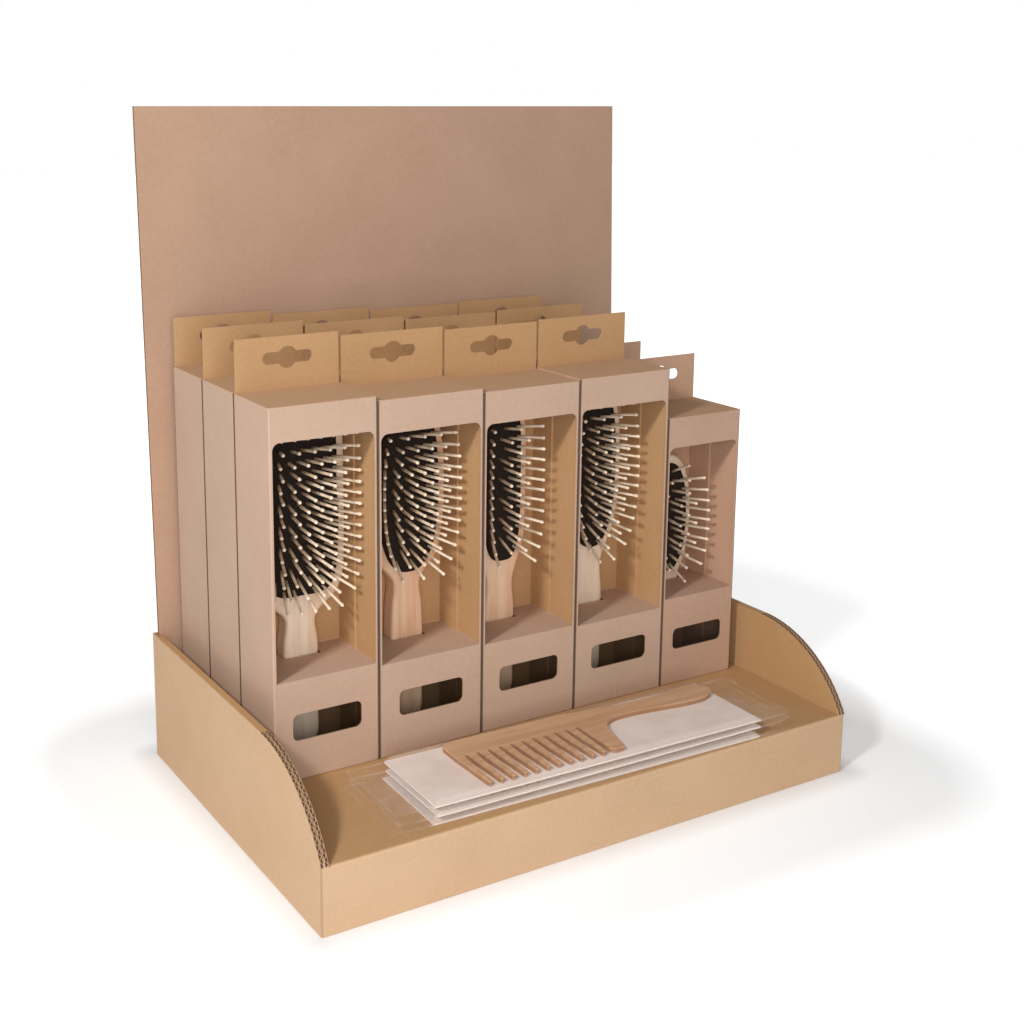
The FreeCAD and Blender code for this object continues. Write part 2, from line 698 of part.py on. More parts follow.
def comb_shape():
    """A wide-toothed wooden comb: spine, tapered teeth between two guards, and a waisted handle."""
    length, spine = number(s("comb_length")), number(s("comb_spine"))
    tooth_length, pitch = number(s("comb_tooth_length")), number(s("comb_tooth_pitch"))
    root, tip = number(s("comb_tooth_root")), number(s("comb_tooth_tip"))
    guard, neck, grip = number(s("comb_guard")), number(s("comb_neck")), number(s("comb_grip"))
    corner, bevel = number(s("comb_corner")), number(s("comb_guard_bevel"))
    guard_drop, waist_drop = number(s("comb_guard_drop")), number(s("comb_waist_drop"))
    back_drop, drop = number(s("comb_back_drop")), number(s("comb_grip_drop"))
    teeth_end = root / 2 + (TEETH - 1) * pitch + root
    tip_line = -spine - tooth_length
    guard_end = teeth_end + guard
    handle = length - guard_end
    waist = guard_end + COMB_WAIST * handle
    lower = [point(guard_end - GUARD_TOE * guard, tip_line), point(guard_end, GUARD_HEEL * tip_line),
             point(guard_end + THROAT_RUN * handle, -spine - THROAT_RISE * tooth_length),
             point(waist, -waist_drop - neck), point(length - grip, -drop - grip),
             point(length - GRIP_NOSE * grip, -drop - (1 - GRIP_NOSE) * grip),
             point(length, -drop - grip / 2), point(length - GRIP_BACK * grip, -drop),
             point(length - grip, -back_drop), point(waist, -waist_drop),
             point(guard_end, -guard_drop), point(teeth_end, 0)]
    handle_curve = Part.BSplineCurve()
    handle_curve.interpolate(lower)
    base_line = [point(teeth_end, -spine), point(teeth_end, tip_line + bevel),
                 point(teeth_end + bevel, tip_line), lower[0]]
    round_in = point(corner * (1 - math.sqrt(0.5)), -corner * (1 - math.sqrt(0.5)))
    edges = [
        Part.LineSegment(lower[-1], point(corner, 0)),
        Part.Arc(point(corner, 0), round_in, point(0, -corner)),
        Part.LineSegment(point(0, -corner), point(0, -spine)),
        Part.LineSegment(point(0, -spine), base_line[0]),
        Part.LineSegment(base_line[0], base_line[1]),
        Part.LineSegment(base_line[1], base_line[2]),
        Part.LineSegment(base_line[2], base_line[3]),
        handle_curve,
    ]
    face = Part.Face(Part.Wire([edge.toShape() for edge in edges]))
    teeth = [tooth(root / 2 + i * pitch, root, tip, spine, tooth_length) for i in range(TEETH)]
    flat = face.fuse(teeth).removeSplitter().Faces[0]
    far_corner = point(number(f"{s('card_length')} / 2 - {s('comb_end_room')} - {s('comb_length')}"),
                       number(f"{s('card_width')} / 2 - {s('comb_side_room')}"))
    flat.translate(far_corner)
    return flat.extrude(FreeCAD.Vector(0, 0, number(s("comb_thickness"))))


def comb(level, shape):
    """The comb lies on its card, its spine along the card's far edge."""
    piece = shaped(f"comb_{level + 1}", shape)
    place_pack(piece, level, f"({s('film')} + {s('card_board')})")


def export(folder):
    """Checks every object and writes each sub-part's shape under its label."""
    doc.recompute()
    for item in doc.Objects:
        if {"Invalid", "Error"} & set(item.State):
            raise RuntimeError(f"{item.Name} failed: {item.State}")
    os.makedirs(folder, exist_ok=True)
    nodes = [item for item in doc.Objects if item.TypeId in ("PartDesign::Body", "Part::Feature")]
    for node in nodes:
        if node.Shape.isNull() or not node.Shape.isValid():
            raise RuntimeError(f"{node.Label} has no valid shape")
        node.Shape.exportStep(os.path.join(folder, f"{node.Label}.step"))
        box_of = node.Shape.BoundBox
        print(f"{node.Label}: {len(node.Shape.Solids)} solids, {node.Shape.Volume:.0f} mm3, "
              f"z {box_of.ZMin:.1f} to {box_of.ZMax:.1f}")
    print(len(nodes), "nodes")


tray()
header_panel()
for column in range(1, COLUMNS + 1):
    rear_cartons(column, carton(column))
    brushes(column)
one_comb = comb_shape()
for level in range(PACKS):
    sleeve(level)
    card(level)
    comb(level, one_comb)
export("parts")
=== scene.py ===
# %% [markdown]
# A stocked counter display of brown board. The solids are already there in metres, in their places.
# The first cell loads them and keeps their box.

# %% Load the solids
import math

import bpy
import numpy as np
from mathutils import Matrix, Vector


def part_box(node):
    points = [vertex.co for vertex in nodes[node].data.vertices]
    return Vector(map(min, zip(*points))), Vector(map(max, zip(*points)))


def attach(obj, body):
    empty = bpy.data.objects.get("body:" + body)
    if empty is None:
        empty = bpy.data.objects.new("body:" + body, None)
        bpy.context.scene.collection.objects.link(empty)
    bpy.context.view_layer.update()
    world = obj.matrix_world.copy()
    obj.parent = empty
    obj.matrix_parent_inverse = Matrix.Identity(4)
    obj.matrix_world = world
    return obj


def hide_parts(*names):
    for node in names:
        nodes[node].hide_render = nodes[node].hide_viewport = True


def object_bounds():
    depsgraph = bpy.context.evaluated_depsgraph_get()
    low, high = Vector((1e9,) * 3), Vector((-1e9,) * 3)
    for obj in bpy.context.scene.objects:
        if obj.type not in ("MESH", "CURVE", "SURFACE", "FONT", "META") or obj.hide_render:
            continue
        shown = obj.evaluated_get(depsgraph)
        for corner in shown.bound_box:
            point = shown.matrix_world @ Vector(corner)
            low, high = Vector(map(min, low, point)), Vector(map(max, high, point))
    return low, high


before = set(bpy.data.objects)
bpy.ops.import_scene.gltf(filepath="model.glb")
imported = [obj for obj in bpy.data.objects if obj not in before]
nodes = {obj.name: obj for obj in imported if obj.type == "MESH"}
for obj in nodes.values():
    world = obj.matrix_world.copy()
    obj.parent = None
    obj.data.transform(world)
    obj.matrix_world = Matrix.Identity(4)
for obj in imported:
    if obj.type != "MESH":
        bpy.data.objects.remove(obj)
solid_box = [list(corner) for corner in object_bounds()]
print("solids:", len(nodes), "box", solid_box)

# %% [markdown]
# The camera stands at the left of the stand, a little above the cartons, at a bit over three quarters
# of a metre. The place and the lens come from the straight edges of the tray and the cartons. The
# picture's own centre isn't where the lens points, so the lens is shifted, as on a view camera. The
# camera looks at a spot 130 mm behind the tray's front.

# %% Camera
IMAGE = 1024
FOCAL_PIXELS = 1425.87
LENS_POINT = (430, 380)
AZIMUTH, ELEVATION, ROLL = -30.4736, 11.0266, 0.1036
DISTANCE = 0.91754
TARGET = Vector((-0.05459, 0.130 - 0.13253, 0.27859))


def photo_camera():
    """A camera that looks at TARGET from DISTANCE away, turned by azimuth, elevation and roll."""
    a, e, r = (math.radians(v) for v in (AZIMUTH, ELEVATION, ROLL))
    back = Vector((math.sin(a) * math.cos(e), -math.cos(a) * math.cos(e), math.sin(e)))
    right = (-back).cross(Vector((0, 0, 1))).normalized()
    up = right.cross(-back)
    right, up = math.cos(r) * right + math.sin(r) * up, -math.sin(r) * right + math.cos(r) * up
    data = bpy.data.cameras.new("photo_camera")
    data.sensor_width = 36.0
    data.lens = FOCAL_PIXELS / IMAGE * data.sensor_width
    data.shift_x = (IMAGE / 2 - LENS_POINT[0]) / IMAGE
    data.shift_y = (LENS_POINT[1] - IMAGE / 2) / IMAGE
    data.clip_start, data.clip_end = 0.02, 60.0
    camera = bpy.data.objects.new("photo_camera", data)
    turn = Matrix((right, up, back)).transposed().to_4x4()
    camera.matrix_world = Matrix.Translation(TARGET + back * DISTANCE) @ turn
    bpy.context.scene.collection.objects.link(camera)
    return camera


bpy.context.scene.camera = photo_camera()
bpy.context.scene.view_settings.view_transform = "Standard"
print("camera at", [round(v, 4) for v in bpy.context.scene.camera.location])

# %% [markdown]
# Colours are written as they look on a screen, in hex. The renderer works in linear light, so one
# function turns them. One more function adds a node with its settings and its links.

# %% Helpers for materials and pieces


def colour(code):
    """Each channel c of the hex code becomes c/12.92 below 0.04045 and ((c+0.055)/1.055)^2.4 above."""
    parts = np.array([int(code[i:i + 2], 16) for i in (1, 3, 5)]) / 255
    linear = np.where(parts <= 0.04045, parts / 12.92, ((parts + 0.055) / 1.055) ** 2.4)
    return (*linear.tolist(), 1.0)


def add(tree, kind, inputs=None, **settings):
    """A new node: settings are its properties, inputs are values, sockets or nodes to link from."""
    made = tree.nodes.new(kind)
    for name, value in settings.items():
        setattr(made, name, value)
    for socket, value in (inputs or {}).items():
        if isinstance(value, bpy.types.Node):
            value = value.outputs[2 if value.bl_idname == "ShaderNodeMix" else 0]
        if isinstance(value, bpy.types.NodeSocket):
            tree.links.new(value, made.inputs[socket])
        else:
            made.inputs[socket].default_value = value
    return made


def new_material(name, roughness, shine):
    """An empty material with a surface shader and its output."""
    material = bpy.data.materials.new(name)
    material.use_nodes = True
    tree = material.node_tree
    tree.nodes.clear()
    shader = add(tree, "ShaderNodeBsdfPrincipled", {"Roughness": roughness, "Specular IOR Level": shine})
    add(tree, "ShaderNodeOutputMaterial", {"Surface": shader})
    return material, tree, shader


def new_piece(name, points, faces, material, smooth=True):
    """A piece of the object from an array of points and a list of faces, riding on the stand."""
    mesh = bpy.data.meshes.new(name)
    mesh.from_pydata(points.tolist(), [], faces)
    mesh.polygons.foreach_set("use_smooth", [smooth] * len(faces))
    mesh.materials.append(material)
    piece = bpy.data.objects.new(name, mesh)
    bpy.context.scene.collection.objects.link(piece)
    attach(piece, "root")
    return piece


def sheet_faces(rows, columns):
    """The squares of a grid of rows times columns points, numbered row by row."""
    first = (np.arange(rows - 1)[:, None] * columns + np.arange(columns - 1)).ravel()
    return np.stack([first, first + 1, first + columns + 1, first + columns], 1).tolist()


# %% [markdown]
# Brown kraft board is pressed from long unbleached fibres. It doesn't shine and is nearly even in
# colour, with faint paler and darker fibres. The sheet is glued over fluting, and the flutes show
# through as very shallow straight bands.

# %% Board
CLOUD_MM, MOTTLE_MM, FIBRE_MM = 45, 2.6, 0.8
FIBRE_STRETCH = 5
BOARD_SKIN = 0.0012
# Colour of the painted shade in the tray's open crease at the front left upright edge.
CREASE_SHADE_COLOUR = "#6B4C34"
KRAFT_FLUTE_MM = 3.6


def board_colours(tree, where, base, dark, light, along, flute_mm):
    """The faintly mottled colour of a board, and the height of its flutes and fibres."""
    drawn = [FIBRE_STRETCH if axis == along else 1 for axis in "XYZ"]
    thin = add(tree, "ShaderNodeMapping", {"Vector": where, "Scale": [1 / v for v in drawn]})
    cloud = add(tree, "ShaderNodeTexNoise", {"Vector": where, "Scale": 1000 / CLOUD_MM, "Detail": 3.0})
    mottle = add(tree, "ShaderNodeTexNoise", {"Vector": where, "Scale": 1000 / MOTTLE_MM, "Detail": 5.0})
    fibre = add(tree, "ShaderNodeTexNoise", {"Vector": thin, "Scale": 1000 / FIBRE_MM, "Detail": 2.0})
    patches = add(tree, "ShaderNodeMapRange", {0: cloud, 1: 0.3, 2: 0.7, 3: 0.0, 4: 0.45})
    flecks = add(tree, "ShaderNodeMapRange", {0: mottle, 1: 0.45, 2: 0.75, 3: 0.0, 4: 0.35})
    lines = add(tree, "ShaderNodeMapRange", {0: fibre, 1: 0.58, 2: 0.8, 3: 0.0, 4: 0.35})
    shade = add(tree, "ShaderNodeMix", {0: patches, 6: colour(base), 7: colour(dark)}, data_type="RGBA")
    shade = add(tree, "ShaderNodeMix", {0: flecks, 6: shade, 7: colour(light)}, data_type="RGBA")
    shade = add(tree, "ShaderNodeMix", {0: lines, 6: shade, 7: colour(dark)}, data_type="RGBA")
    flutes = add(tree, "ShaderNodeTexWave", {"Vector": where, "Distortion": 0.6, "Detail": 1.0,
                                             "Scale": 2 * math.pi * 1000 / (20 * flute_mm)},
                 bands_direction="X" if along == "Z" else "Z")
    height = add(tree, "ShaderNodeMath", {0: flutes.outputs["Fac"], 1: 0.5, 2: mottle},
                 operation="MULTIPLY_ADD")
    return shade, height


def board_material(name, base, dark, light, along, flute_mm):
    """Plain board, matt, with shallow flutes."""
    material, tree, shader = new_material(name, 0.88, 0.2)
    where = add(tree, "ShaderNodeTexCoord").outputs["Object"]
    shade, height = board_colours(tree, where, base, dark, light, along, flute_mm)
    relief = add(tree, "ShaderNodeBump", {"Height": height, "Strength": 0.10, "Distance": 0.0004})
    tree.links.new(relief.outputs[0], shader.inputs["Normal"])
    return material, tree, shader, shade, where


def tray_material():
    """Board whose upright outer faces are paler, partly a paler liner and partly painted light, with painted
    shade along the crease at the front left upright edge.
    """
    material, tree, shader, inner, where = board_material("kraft_corrugated_tray", *TRAY_BOARD, "X",
                                                          KRAFT_FLUTE_MM)
    low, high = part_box("tray")
    centred = add(tree, "ShaderNodeVectorMath", {0: where, 1: (low + high) / 2}, operation="SUBTRACT")
    reach = add(tree, "ShaderNodeVectorMath", {0: centred}, operation="ABSOLUTE")
    over = add(tree, "ShaderNodeSeparateXYZ",
               {0: add(tree, "ShaderNodeVectorMath", {0: reach, 1: (high - low) / 2}, operation="SUBTRACT")})
    side = add(tree, "ShaderNodeMath", {0: over.outputs["X"], 1: over.outputs["Y"]}, operation="MAXIMUM")
    outer = add(tree, "ShaderNodeMapRange", {0: side, 1: -BOARD_SKIN, 2: -BOARD_SKIN / 3})
    # The upright outer faces get a paler copy of the board colour: partly a paler outer liner, partly painted
    # light where the lamps light the sides.
    pale, _ = board_colours(tree, where, *OUTER_LINER_AND_LIGHT, "X", KRAFT_FLUTE_MM)
    shade = add(tree, "ShaderNodeMix", {0: outer, 6: inner, 7: pale}, data_type="RGBA")
    # Painted shade: a dark line along the front left upright edge, for the shade in its open crease.
    flat = add(tree, "ShaderNodeVectorMath", {0: where, 1: (1, 1, 0)}, operation="MULTIPLY")
    apart = add(tree, "ShaderNodeVectorMath", {0: flat, 1: (low.x + 0.0006, low.y + 0.0006, 0)},
                operation="DISTANCE").outputs["Value"]
    crease = add(tree, "ShaderNodeMapRange", {0: apart, 1: 0.0002, 2: 0.0014, 3: 0.45, 4: 0.0})
    dark = add(tree, "ShaderNodeMix", {0: crease, 6: shade, 7: colour(CREASE_SHADE_COLOUR)}, data_type="RGBA")
    tree.links.new(dark.outputs[2], shader.inputs["Base Color"])
    return material


TRAY_BOARD = ("#BF976B", "#B38A5D", "#C8A278")
# Paler copy for the upright outer faces: partly a paler liner, partly painted light.
OUTER_LINER_AND_LIGHT = ("#D6B390", "#C9A580", "#DEBFA1")
HEADER_BOARD = ("#BD9A82", "#B18E75", "#C5A48E")
tray_board = tray_material()
header_board, tree, shader, shade, _ = board_material("kraft_corrugated_header", *HEADER_BOARD, "X",
                                                      KRAFT_FLUTE_MM)
tree.links.new(shade.outputs[2], shader.inputs["Base Color"])
print("board of tray and header")

# %% [markdown]
# The cartons are folded from thinner board whose outside is printed with a pinkish brown and whose
# inside is bare tan. Which side a point is on follows from its place in the carton: the outside is
# where it lies on the carton's own box. The shelf is a flap turned in from the front, so it shows the
# printed side, and the top flap shows bare board. The folds stand tight against the next carton, and
# no light gets into that narrow groove, so painted shade darkens the board along the upright folds.
# The room below the shelf is nearly closed, and its bare board is darkened with painted shade too.

# %% Carton board
OUTSIDE = ("#C7A892", "#BB9B84", "#CFB39F")
INSIDE = ("#C2996E", "#B58C60", "#CCA77F")
SMALL_OUTSIDE = ("#C4A18A", "#B8947D", "#CDAD98")
SMALL_INSIDE = ("#C9A287", "#BD967B", "#D1AD95")
TOP = "#C39C79"
# The second number is the strength of the painted shade along the upright folds.
FACE_SLACK, GROOVE_SHADE_STRENGTH = 0.0003, 0.85
TAB_HEIGHT = 0.033
SHELVES = (0.0655, 0.063, 0.0615, 0.060, 0.065)
CARTON_FLUTE_MM = 2.4
CARTON_BOARD = 0.0006
# Colour of the painted shade at the upright folds and below the shelf, and its strength below the shelf.
PAINTED_SHADE_BROWN, ROOM_SHADE_STRENGTH = "#2E1D12", 0.6


def carton_material(name, low, high, outside, inside, shelf, lone_corner):
    """Outside colours on the box and the shelf, with painted shade at the upright folds, and bare board
    inside, with painted shade below the shelf.
    """
    material, tree, shader = new_material(name, 0.82, 0.25)
    where = add(tree, "ShaderNodeTexCoord").outputs["Object"]
    centred = add(tree, "ShaderNodeVectorMath", {0: where, 1: (low + high) / 2}, operation="SUBTRACT")
    reach = add(tree, "ShaderNodeVectorMath", {0: centred}, operation="ABSOLUTE")
    over = add(tree, "ShaderNodeVectorMath", {0: reach, 1: (high - low) / 2}, operation="SUBTRACT")
    apart = add(tree, "ShaderNodeSeparateXYZ",
                {0: add(tree, "ShaderNodeVectorMath", {0: over}, operation="ABSOLUTE")})
    side = add(tree, "ShaderNodeMath", {0: apart.outputs["X"], 1: apart.outputs["Y"]}, operation="MINIMUM")
    near = add(tree, "ShaderNodeMath", {0: side, 1: apart.outputs["Z"]}, operation="MINIMUM")
    lift = add(tree, "ShaderNodeSeparateXYZ", {0: where}).outputs["Z"]
    shelf_near = add(tree, "ShaderNodeMath", {0: lift, 1: low.z + shelf, 2: FACE_SLACK}, operation="COMPARE")
    top_near = add(tree, "ShaderNodeMath", {0: lift, 1: high.z, 2: FACE_SLACK}, operation="COMPARE")
    on_box = add(tree, "ShaderNodeMath", {0: near, 1: FACE_SLACK}, operation="LESS_THAN")
    on_face = add(tree, "ShaderNodeMath", {0: on_box, 1: shelf_near}, operation="MAXIMUM")
    fold = add(tree, "ShaderNodeMath", {0: apart.outputs["X"], 1: apart.outputs["Y"]}, operation="MAXIMUM")
    # Painted shade along the upright folds, where no light gets into the narrow groove between cartons.
    groove_shade = add(tree, "ShaderNodeMapRange", {0: fold, 1: 0.0004, 2: 0.0013, 3: GROOVE_SHADE_STRENGTH, 4: 0.0},
                 interpolation_type="SMOOTHSTEP")
    if lone_corner:
        place = add(tree, "ShaderNodeSeparateXYZ", {0: centred})
        inner = add(tree, "ShaderNodeMath", {0: place.outputs["X"], 1: place.outputs["Y"]},
                    operation="MAXIMUM")
        shown = add(tree, "ShaderNodeMath", {0: inner, 1: 0.0}, operation="GREATER_THAN")
        groove_shade = add(tree, "ShaderNodeMath", {0: groove_shade, 1: shown}, operation="MULTIPLY")
    shade_out, height = board_colours(tree, where, *outside, "Z", CARTON_FLUTE_MM)
    shade_in, _ = board_colours(tree, where, *inside, "Z", CARTON_FLUTE_MM)
    print_with_groove_shade = add(tree, "ShaderNodeMix", {0: groove_shade, 6: shade_out, 7: colour(PAINTED_SHADE_BROWN)}, data_type="RGBA")
    # Painted shade: the bare board below the shelf is darkened, as little light gets into that closed room.
    below = add(tree, "ShaderNodeMath", {0: lift, 1: low.z + shelf - CARTON_BOARD}, operation="LESS_THAN")
    room_shade = add(tree, "ShaderNodeMath", {0: below, 1: ROOM_SHADE_STRENGTH}, operation="MULTIPLY")
    shade_in = add(tree, "ShaderNodeMix", {0: room_shade, 6: shade_in, 7: colour(PAINTED_SHADE_BROWN)}, data_type="RGBA")
    shade = add(tree, "ShaderNodeMix", {0: on_face, 6: shade_in, 7: print_with_groove_shade}, data_type="RGBA")
    shade = add(tree, "ShaderNodeMix", {0: top_near, 6: shade, 7: colour(TOP)}, data_type="RGBA")
    relief = add(tree, "ShaderNodeBump", {"Height": height, "Strength": 0.08, "Distance": 0.0003})
    tree.links.new(shade.outputs[2], shader.inputs["Base Color"])
    tree.links.new(relief.outputs[0], shader.inputs["Normal"])
    return material


# %% [markdown]
# The brushes and combs are sanded wood without varnish: pale, with fine grain lines along the piece.
# The grain is noise drawn out along the grain's direction, crossed with broader, softer rings.

# %% Wood
GRAIN_STRETCH = 0.05
RING_MM, PORE_MM = 6, 0.9
# Colour and fade of the painted shade on the comb's sides and between its teeth.
TEETH_SHADE_COLOUR, TEETH_SHADE_FADE = "#7A4E30", 0.0012


def wood_material(name, pale, warm, dark, grain, shaded_under=None):
    """Noise stretched twenty-fold along the grain gives the pores, and a broader one gives the rings.

    Below the height given last, the wood is painted darker: painted shade on the comb's sides and in the gaps
    between its teeth.
    """
    material, tree, shader = new_material(name, 0.55, 0.35)
    where = add(tree, "ShaderNodeTexCoord").outputs["Object"]
    drawn = [GRAIN_STRETCH if axis == grain else 1.0 for axis in "XYZ"]
    along = add(tree, "ShaderNodeMapping", {"Vector": where, "Scale": drawn})
    rings = add(tree, "ShaderNodeTexNoise", {"Vector": along, "Scale": 1000 / RING_MM, "Detail": 2.0})
    pores = add(tree, "ShaderNodeTexNoise", {"Vector": along, "Scale": 1000 / PORE_MM, "Detail": 3.0})
    broad = add(tree, "ShaderNodeMapRange", {0: rings, 1: 0.35, 2: 0.65})
    fine = add(tree, "ShaderNodeMapRange", {0: pores, 1: 0.55, 2: 0.8, 3: 0.0, 4: 0.45})
    shade = add(tree, "ShaderNodeMix", {0: broad, 6: colour(pale), 7: colour(warm)}, data_type="RGBA")
    shade = add(tree, "ShaderNodeMix", {0: fine, 6: shade, 7: colour(dark)}, data_type="RGBA")
    if shaded_under is not None:
        # Painted shade: the wood below the comb's top is darkened, for the shade between its teeth.
        height = add(tree, "ShaderNodeSeparateXYZ", {0: where}).outputs["Z"]
        teeth_shade = add(tree, "ShaderNodeMapRange", {0: height, 1: shaded_under - TEETH_SHADE_FADE, 2: shaded_under,
                                                3: 0.6, 4: 0.0})
        shade = add(tree, "ShaderNodeMix", {0: teeth_shade, 6: shade, 7: colour(TEETH_SHADE_COLOUR)}, data_type="RGBA")
    relief = add(tree, "ShaderNodeBump", {"Height": pores, "Strength": 0.1, "Distance": 0.0002})
    tree.links.new(shade.outputs[2], shader.inputs["Base Color"])
    tree.links.new(relief.outputs[0], shader.inputs["Normal"])
    return material


beech = wood_material("sanded_beech_brush", "#F4DFC8", "#EACDB0", "#CBA27E", "Z")
pink_beech = wood_material("sanded_steamed_beech_brush", "#F2CFB0", "#E6B996", "#C08E6C", "Z")
pin_wood = wood_material("turned_beech_pins", "#F8E7D2", "#EED6B8", "#D9B692", "Y")
combs = {f"comb_{level}": wood_material(f"sanded_wood_comb_{level}", "#D8AE88", "#C79972", "#9C6C48", "X",
                                        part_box(f"comb_{level}")[1].z - 0.0002) for level in (1, 2, 3)}
print("woods of brushes, pins and", len(combs), "combs")

# %% [markdown]
# The cushion is soft black rubber: nearly black, matt, with a weak broad sheen. The card under each
# comb is smooth and pale pinkish, and its cut edge is white.

# %% Rubber and card


def rubber_material():
    """Matt black with a very fine grain."""
    material, tree, shader = new_material("moulded_black_rubber", 0.8, 0.2)
    where = add(tree, "ShaderNodeTexCoord").outputs["Object"]
    grain = add(tree, "ShaderNodeTexNoise", {"Vector": where, "Scale": 1000 / 0.7})
    shade = add(tree, "ShaderNodeMix", {0: grain, 6: colour("#150E09"), 7: colour("#261A12")},
                data_type="RGBA")
    tree.links.new(shade.outputs[2], shader.inputs["Base Color"])
    return material


def card_material(top, cut_edge):
    """Pale card with a faint cloud; the lower half of its thickness shows the white cut edge."""
    material, tree, shader = new_material(f"coated_pale_card_{round(top * 1e5)}", 0.6, 0.4)
    where = add(tree, "ShaderNodeTexCoord").outputs["Object"]
    cloud = add(tree, "ShaderNodeTexNoise", {"Vector": where, "Scale": 1000 / 22, "Detail": 3.0})
    soft = add(tree, "ShaderNodeMapRange", {0: cloud, 1: 0.35, 2: 0.65})
    shade = add(tree, "ShaderNodeMix", {0: soft, 6: colour("#F3E5DC"), 7: colour("#EBDACF")},
                data_type="RGBA")
    height = add(tree, "ShaderNodeSeparateXYZ", {0: where}).outputs["Z"]
    edge = add(tree, "ShaderNodeMath", {0: height, 1: top - cut_edge}, operation="LESS_THAN")
    both = add(tree, "ShaderNodeMix", {0: edge, 6: shade, 7: colour("#FBF7F4")}, data_type="RGBA")
    tree.links.new(both.outputs[2], shader.inputs["Base Color"])
    return material


rubber = rubber_material()
print("rubber of the cushions")


def dress(node, material):
    """Puts one material on a solid, in place of the one it came with."""
    if not nodes[node].material_slots:
        nodes[node].data.materials.append(None)
    for place in nodes[node].material_slots:
        place.material = material


for name in nodes:
    if name == "tray":
        dress(name, tray_board)
    elif name == "header_panel":
        dress(name, header_board)
    elif name.startswith("carton_"):
        low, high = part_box(name)
        high = Vector((high.x, high.y, high.z - TAB_HEIGHT))
        small = name.endswith("_c5")
        dress(name, carton_material(f"folded_boxboard_{name}", low, high, SMALL_OUTSIDE if small else OUTSIDE,
                                    SMALL_INSIDE if small else INSIDE, SHELVES[int(name[-1]) - 1],
                                    name == "carton_r1_c1"))
    elif name.endswith("_cushion"):
        dress(name, rubber)
    elif name.startswith("comb_card"):
        dress(name, card_material(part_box(name)[1].z, 0.0001))
    elif name.startswith(("brush_c2", "brush_c3")):
        dress(name, pink_beech)
    elif name.startswith("brush_"):
        dress(name, beech)
    elif name.startswith("comb_") and "sleeve" not in name:
        dress(name, combs[name])
print("dressed solids:", len(nodes))

# %% [markdown]
# Each front brush carries turned wooden pins with ball tips. A real pin is turned on a small lathe and
# pressed into the rubber. Here every pin is one profile turned round its own leaning axis. The pins
# stand in rows from edge to edge of the cushion, and lean outwards more the nearer they are to it.

# %% Pins with ball tips
PITCH, ROW_STEP = 0.0056, 0.0069
PIN_EDGE, PIN_SET = 0.0042, 0.002
FAN, DIP_CURVE = math.radians(28), 2.5
ROUNDNESS = (5.0, 2.5, 3.4, 2.4, 2.2)
PIN_PROFILE = np.array([(0, 1.05), (12, 1.0), (19.6, 0.92), (20.3, 0.98), (20.8, 1.12),
                        (21.4, 1.22), (22.1, 1.12), (22.65, 0.78), (22.95, 0.3)]) / 1000
PIN_SIDES = 8


def pin_feet(half_x, half_z, power):
    """Rows on |x/half_x|^power + |z/half_z|^power <= 1; each second row has one gap less than fits."""
    feet = []
    rows = int(half_z / ROW_STEP)
    for j in range(-rows, rows + 1):
        reach = half_x * (1 - (abs(j) * ROW_STEP / half_z) ** power) ** (1 / power)
        gaps = max(int(2 * reach / PITCH) - j % 2, 0)
        across = np.linspace(-reach, reach, gaps + 1) if gaps else np.zeros(1)
        feet.append(np.stack([across, np.full(len(across), j * ROW_STEP)], 1))
    return np.concatenate(feet)


def turned_pins(column):
    """Point = foot + along * d + radius * (cos t * side + sin t * rise), for each foot, ring and turn t."""
    low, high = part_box(f"brush_c{column}_cushion")
    half_x, half_z = (high.x - low.x) / 2 - PIN_EDGE, (high.z - low.z) / 2 - PIN_EDGE
    feet = pin_feet(half_x, half_z, ROUNDNESS[column - 1])
    dip = np.sign(feet[:, 1]) * np.abs(feet[:, 1] / half_z) ** DIP_CURVE
    lean = np.stack([np.tan(FAN * feet[:, 0] / half_x), -np.ones(len(feet)), np.tan(FAN * dip)], 1)
    lean /= np.linalg.norm(lean, axis=1, keepdims=True)
    side = np.cross(lean, (0, 0, 1))
    side /= np.linalg.norm(side, axis=1, keepdims=True)
    rise = np.cross(side, lean)
    foot = np.stack([feet[:, 0] + (low.x + high.x) / 2, np.full(len(feet), low.y + PIN_SET),
                     feet[:, 1] + (low.z + high.z) / 2], 1)
    turn = 2 * np.pi * np.arange(PIN_SIDES) / PIN_SIDES
    ring = np.cos(turn)[None, :, None] * side[:, None, :] + np.sin(turn)[None, :, None] * rise[:, None, :]
    along, radius = PIN_PROFILE.T
    points = (foot[:, None, None, :] + along[None, :, None, None] * lean[:, None, None, :]
              + radius[None, :, None, None] * ring[:, None, :, :])
    rings = len(PIN_PROFILE)
    first = (np.arange(rings - 1)[:, None] * PIN_SIDES + np.arange(PIN_SIDES)).ravel()
    after = (np.arange(rings - 1)[:, None] * PIN_SIDES + (np.arange(PIN_SIDES) + 1) % PIN_SIDES).ravel()
    wall = np.stack([first, first + PIN_SIDES, after + PIN_SIDES, after], 1)
    end = (rings - 1) * PIN_SIDES + np.arange(PIN_SIDES)[::-1]
    starts = np.arange(len(feet)) * rings * PIN_SIDES
    faces = (starts[:, None, None] + wall[None]).reshape(-1, 4).tolist()
    faces += (starts[:, None] + end[None]).tolist()
    faces += (starts[:, None] + np.arange(PIN_SIDES)[None]).tolist()
    piece = new_piece(f"turned_pins_{column}", points.reshape(-1, 3), faces, pin_wood)
    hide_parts(f"brush_c{column}_pins")
    return len(feet)


print("pins per brush:", [turned_pins(column) for column in range(1, 6)])

# %% [markdown]
# Where the tray's side walls are cut to their arc, the board's raw edge shows: two pale liners with the
# wavy flute between them, and the hollows in between, painted dark brown as shade. A narrow ribbon
# lies on each cut edge, and its pattern follows the length along the cut and the place across the board.

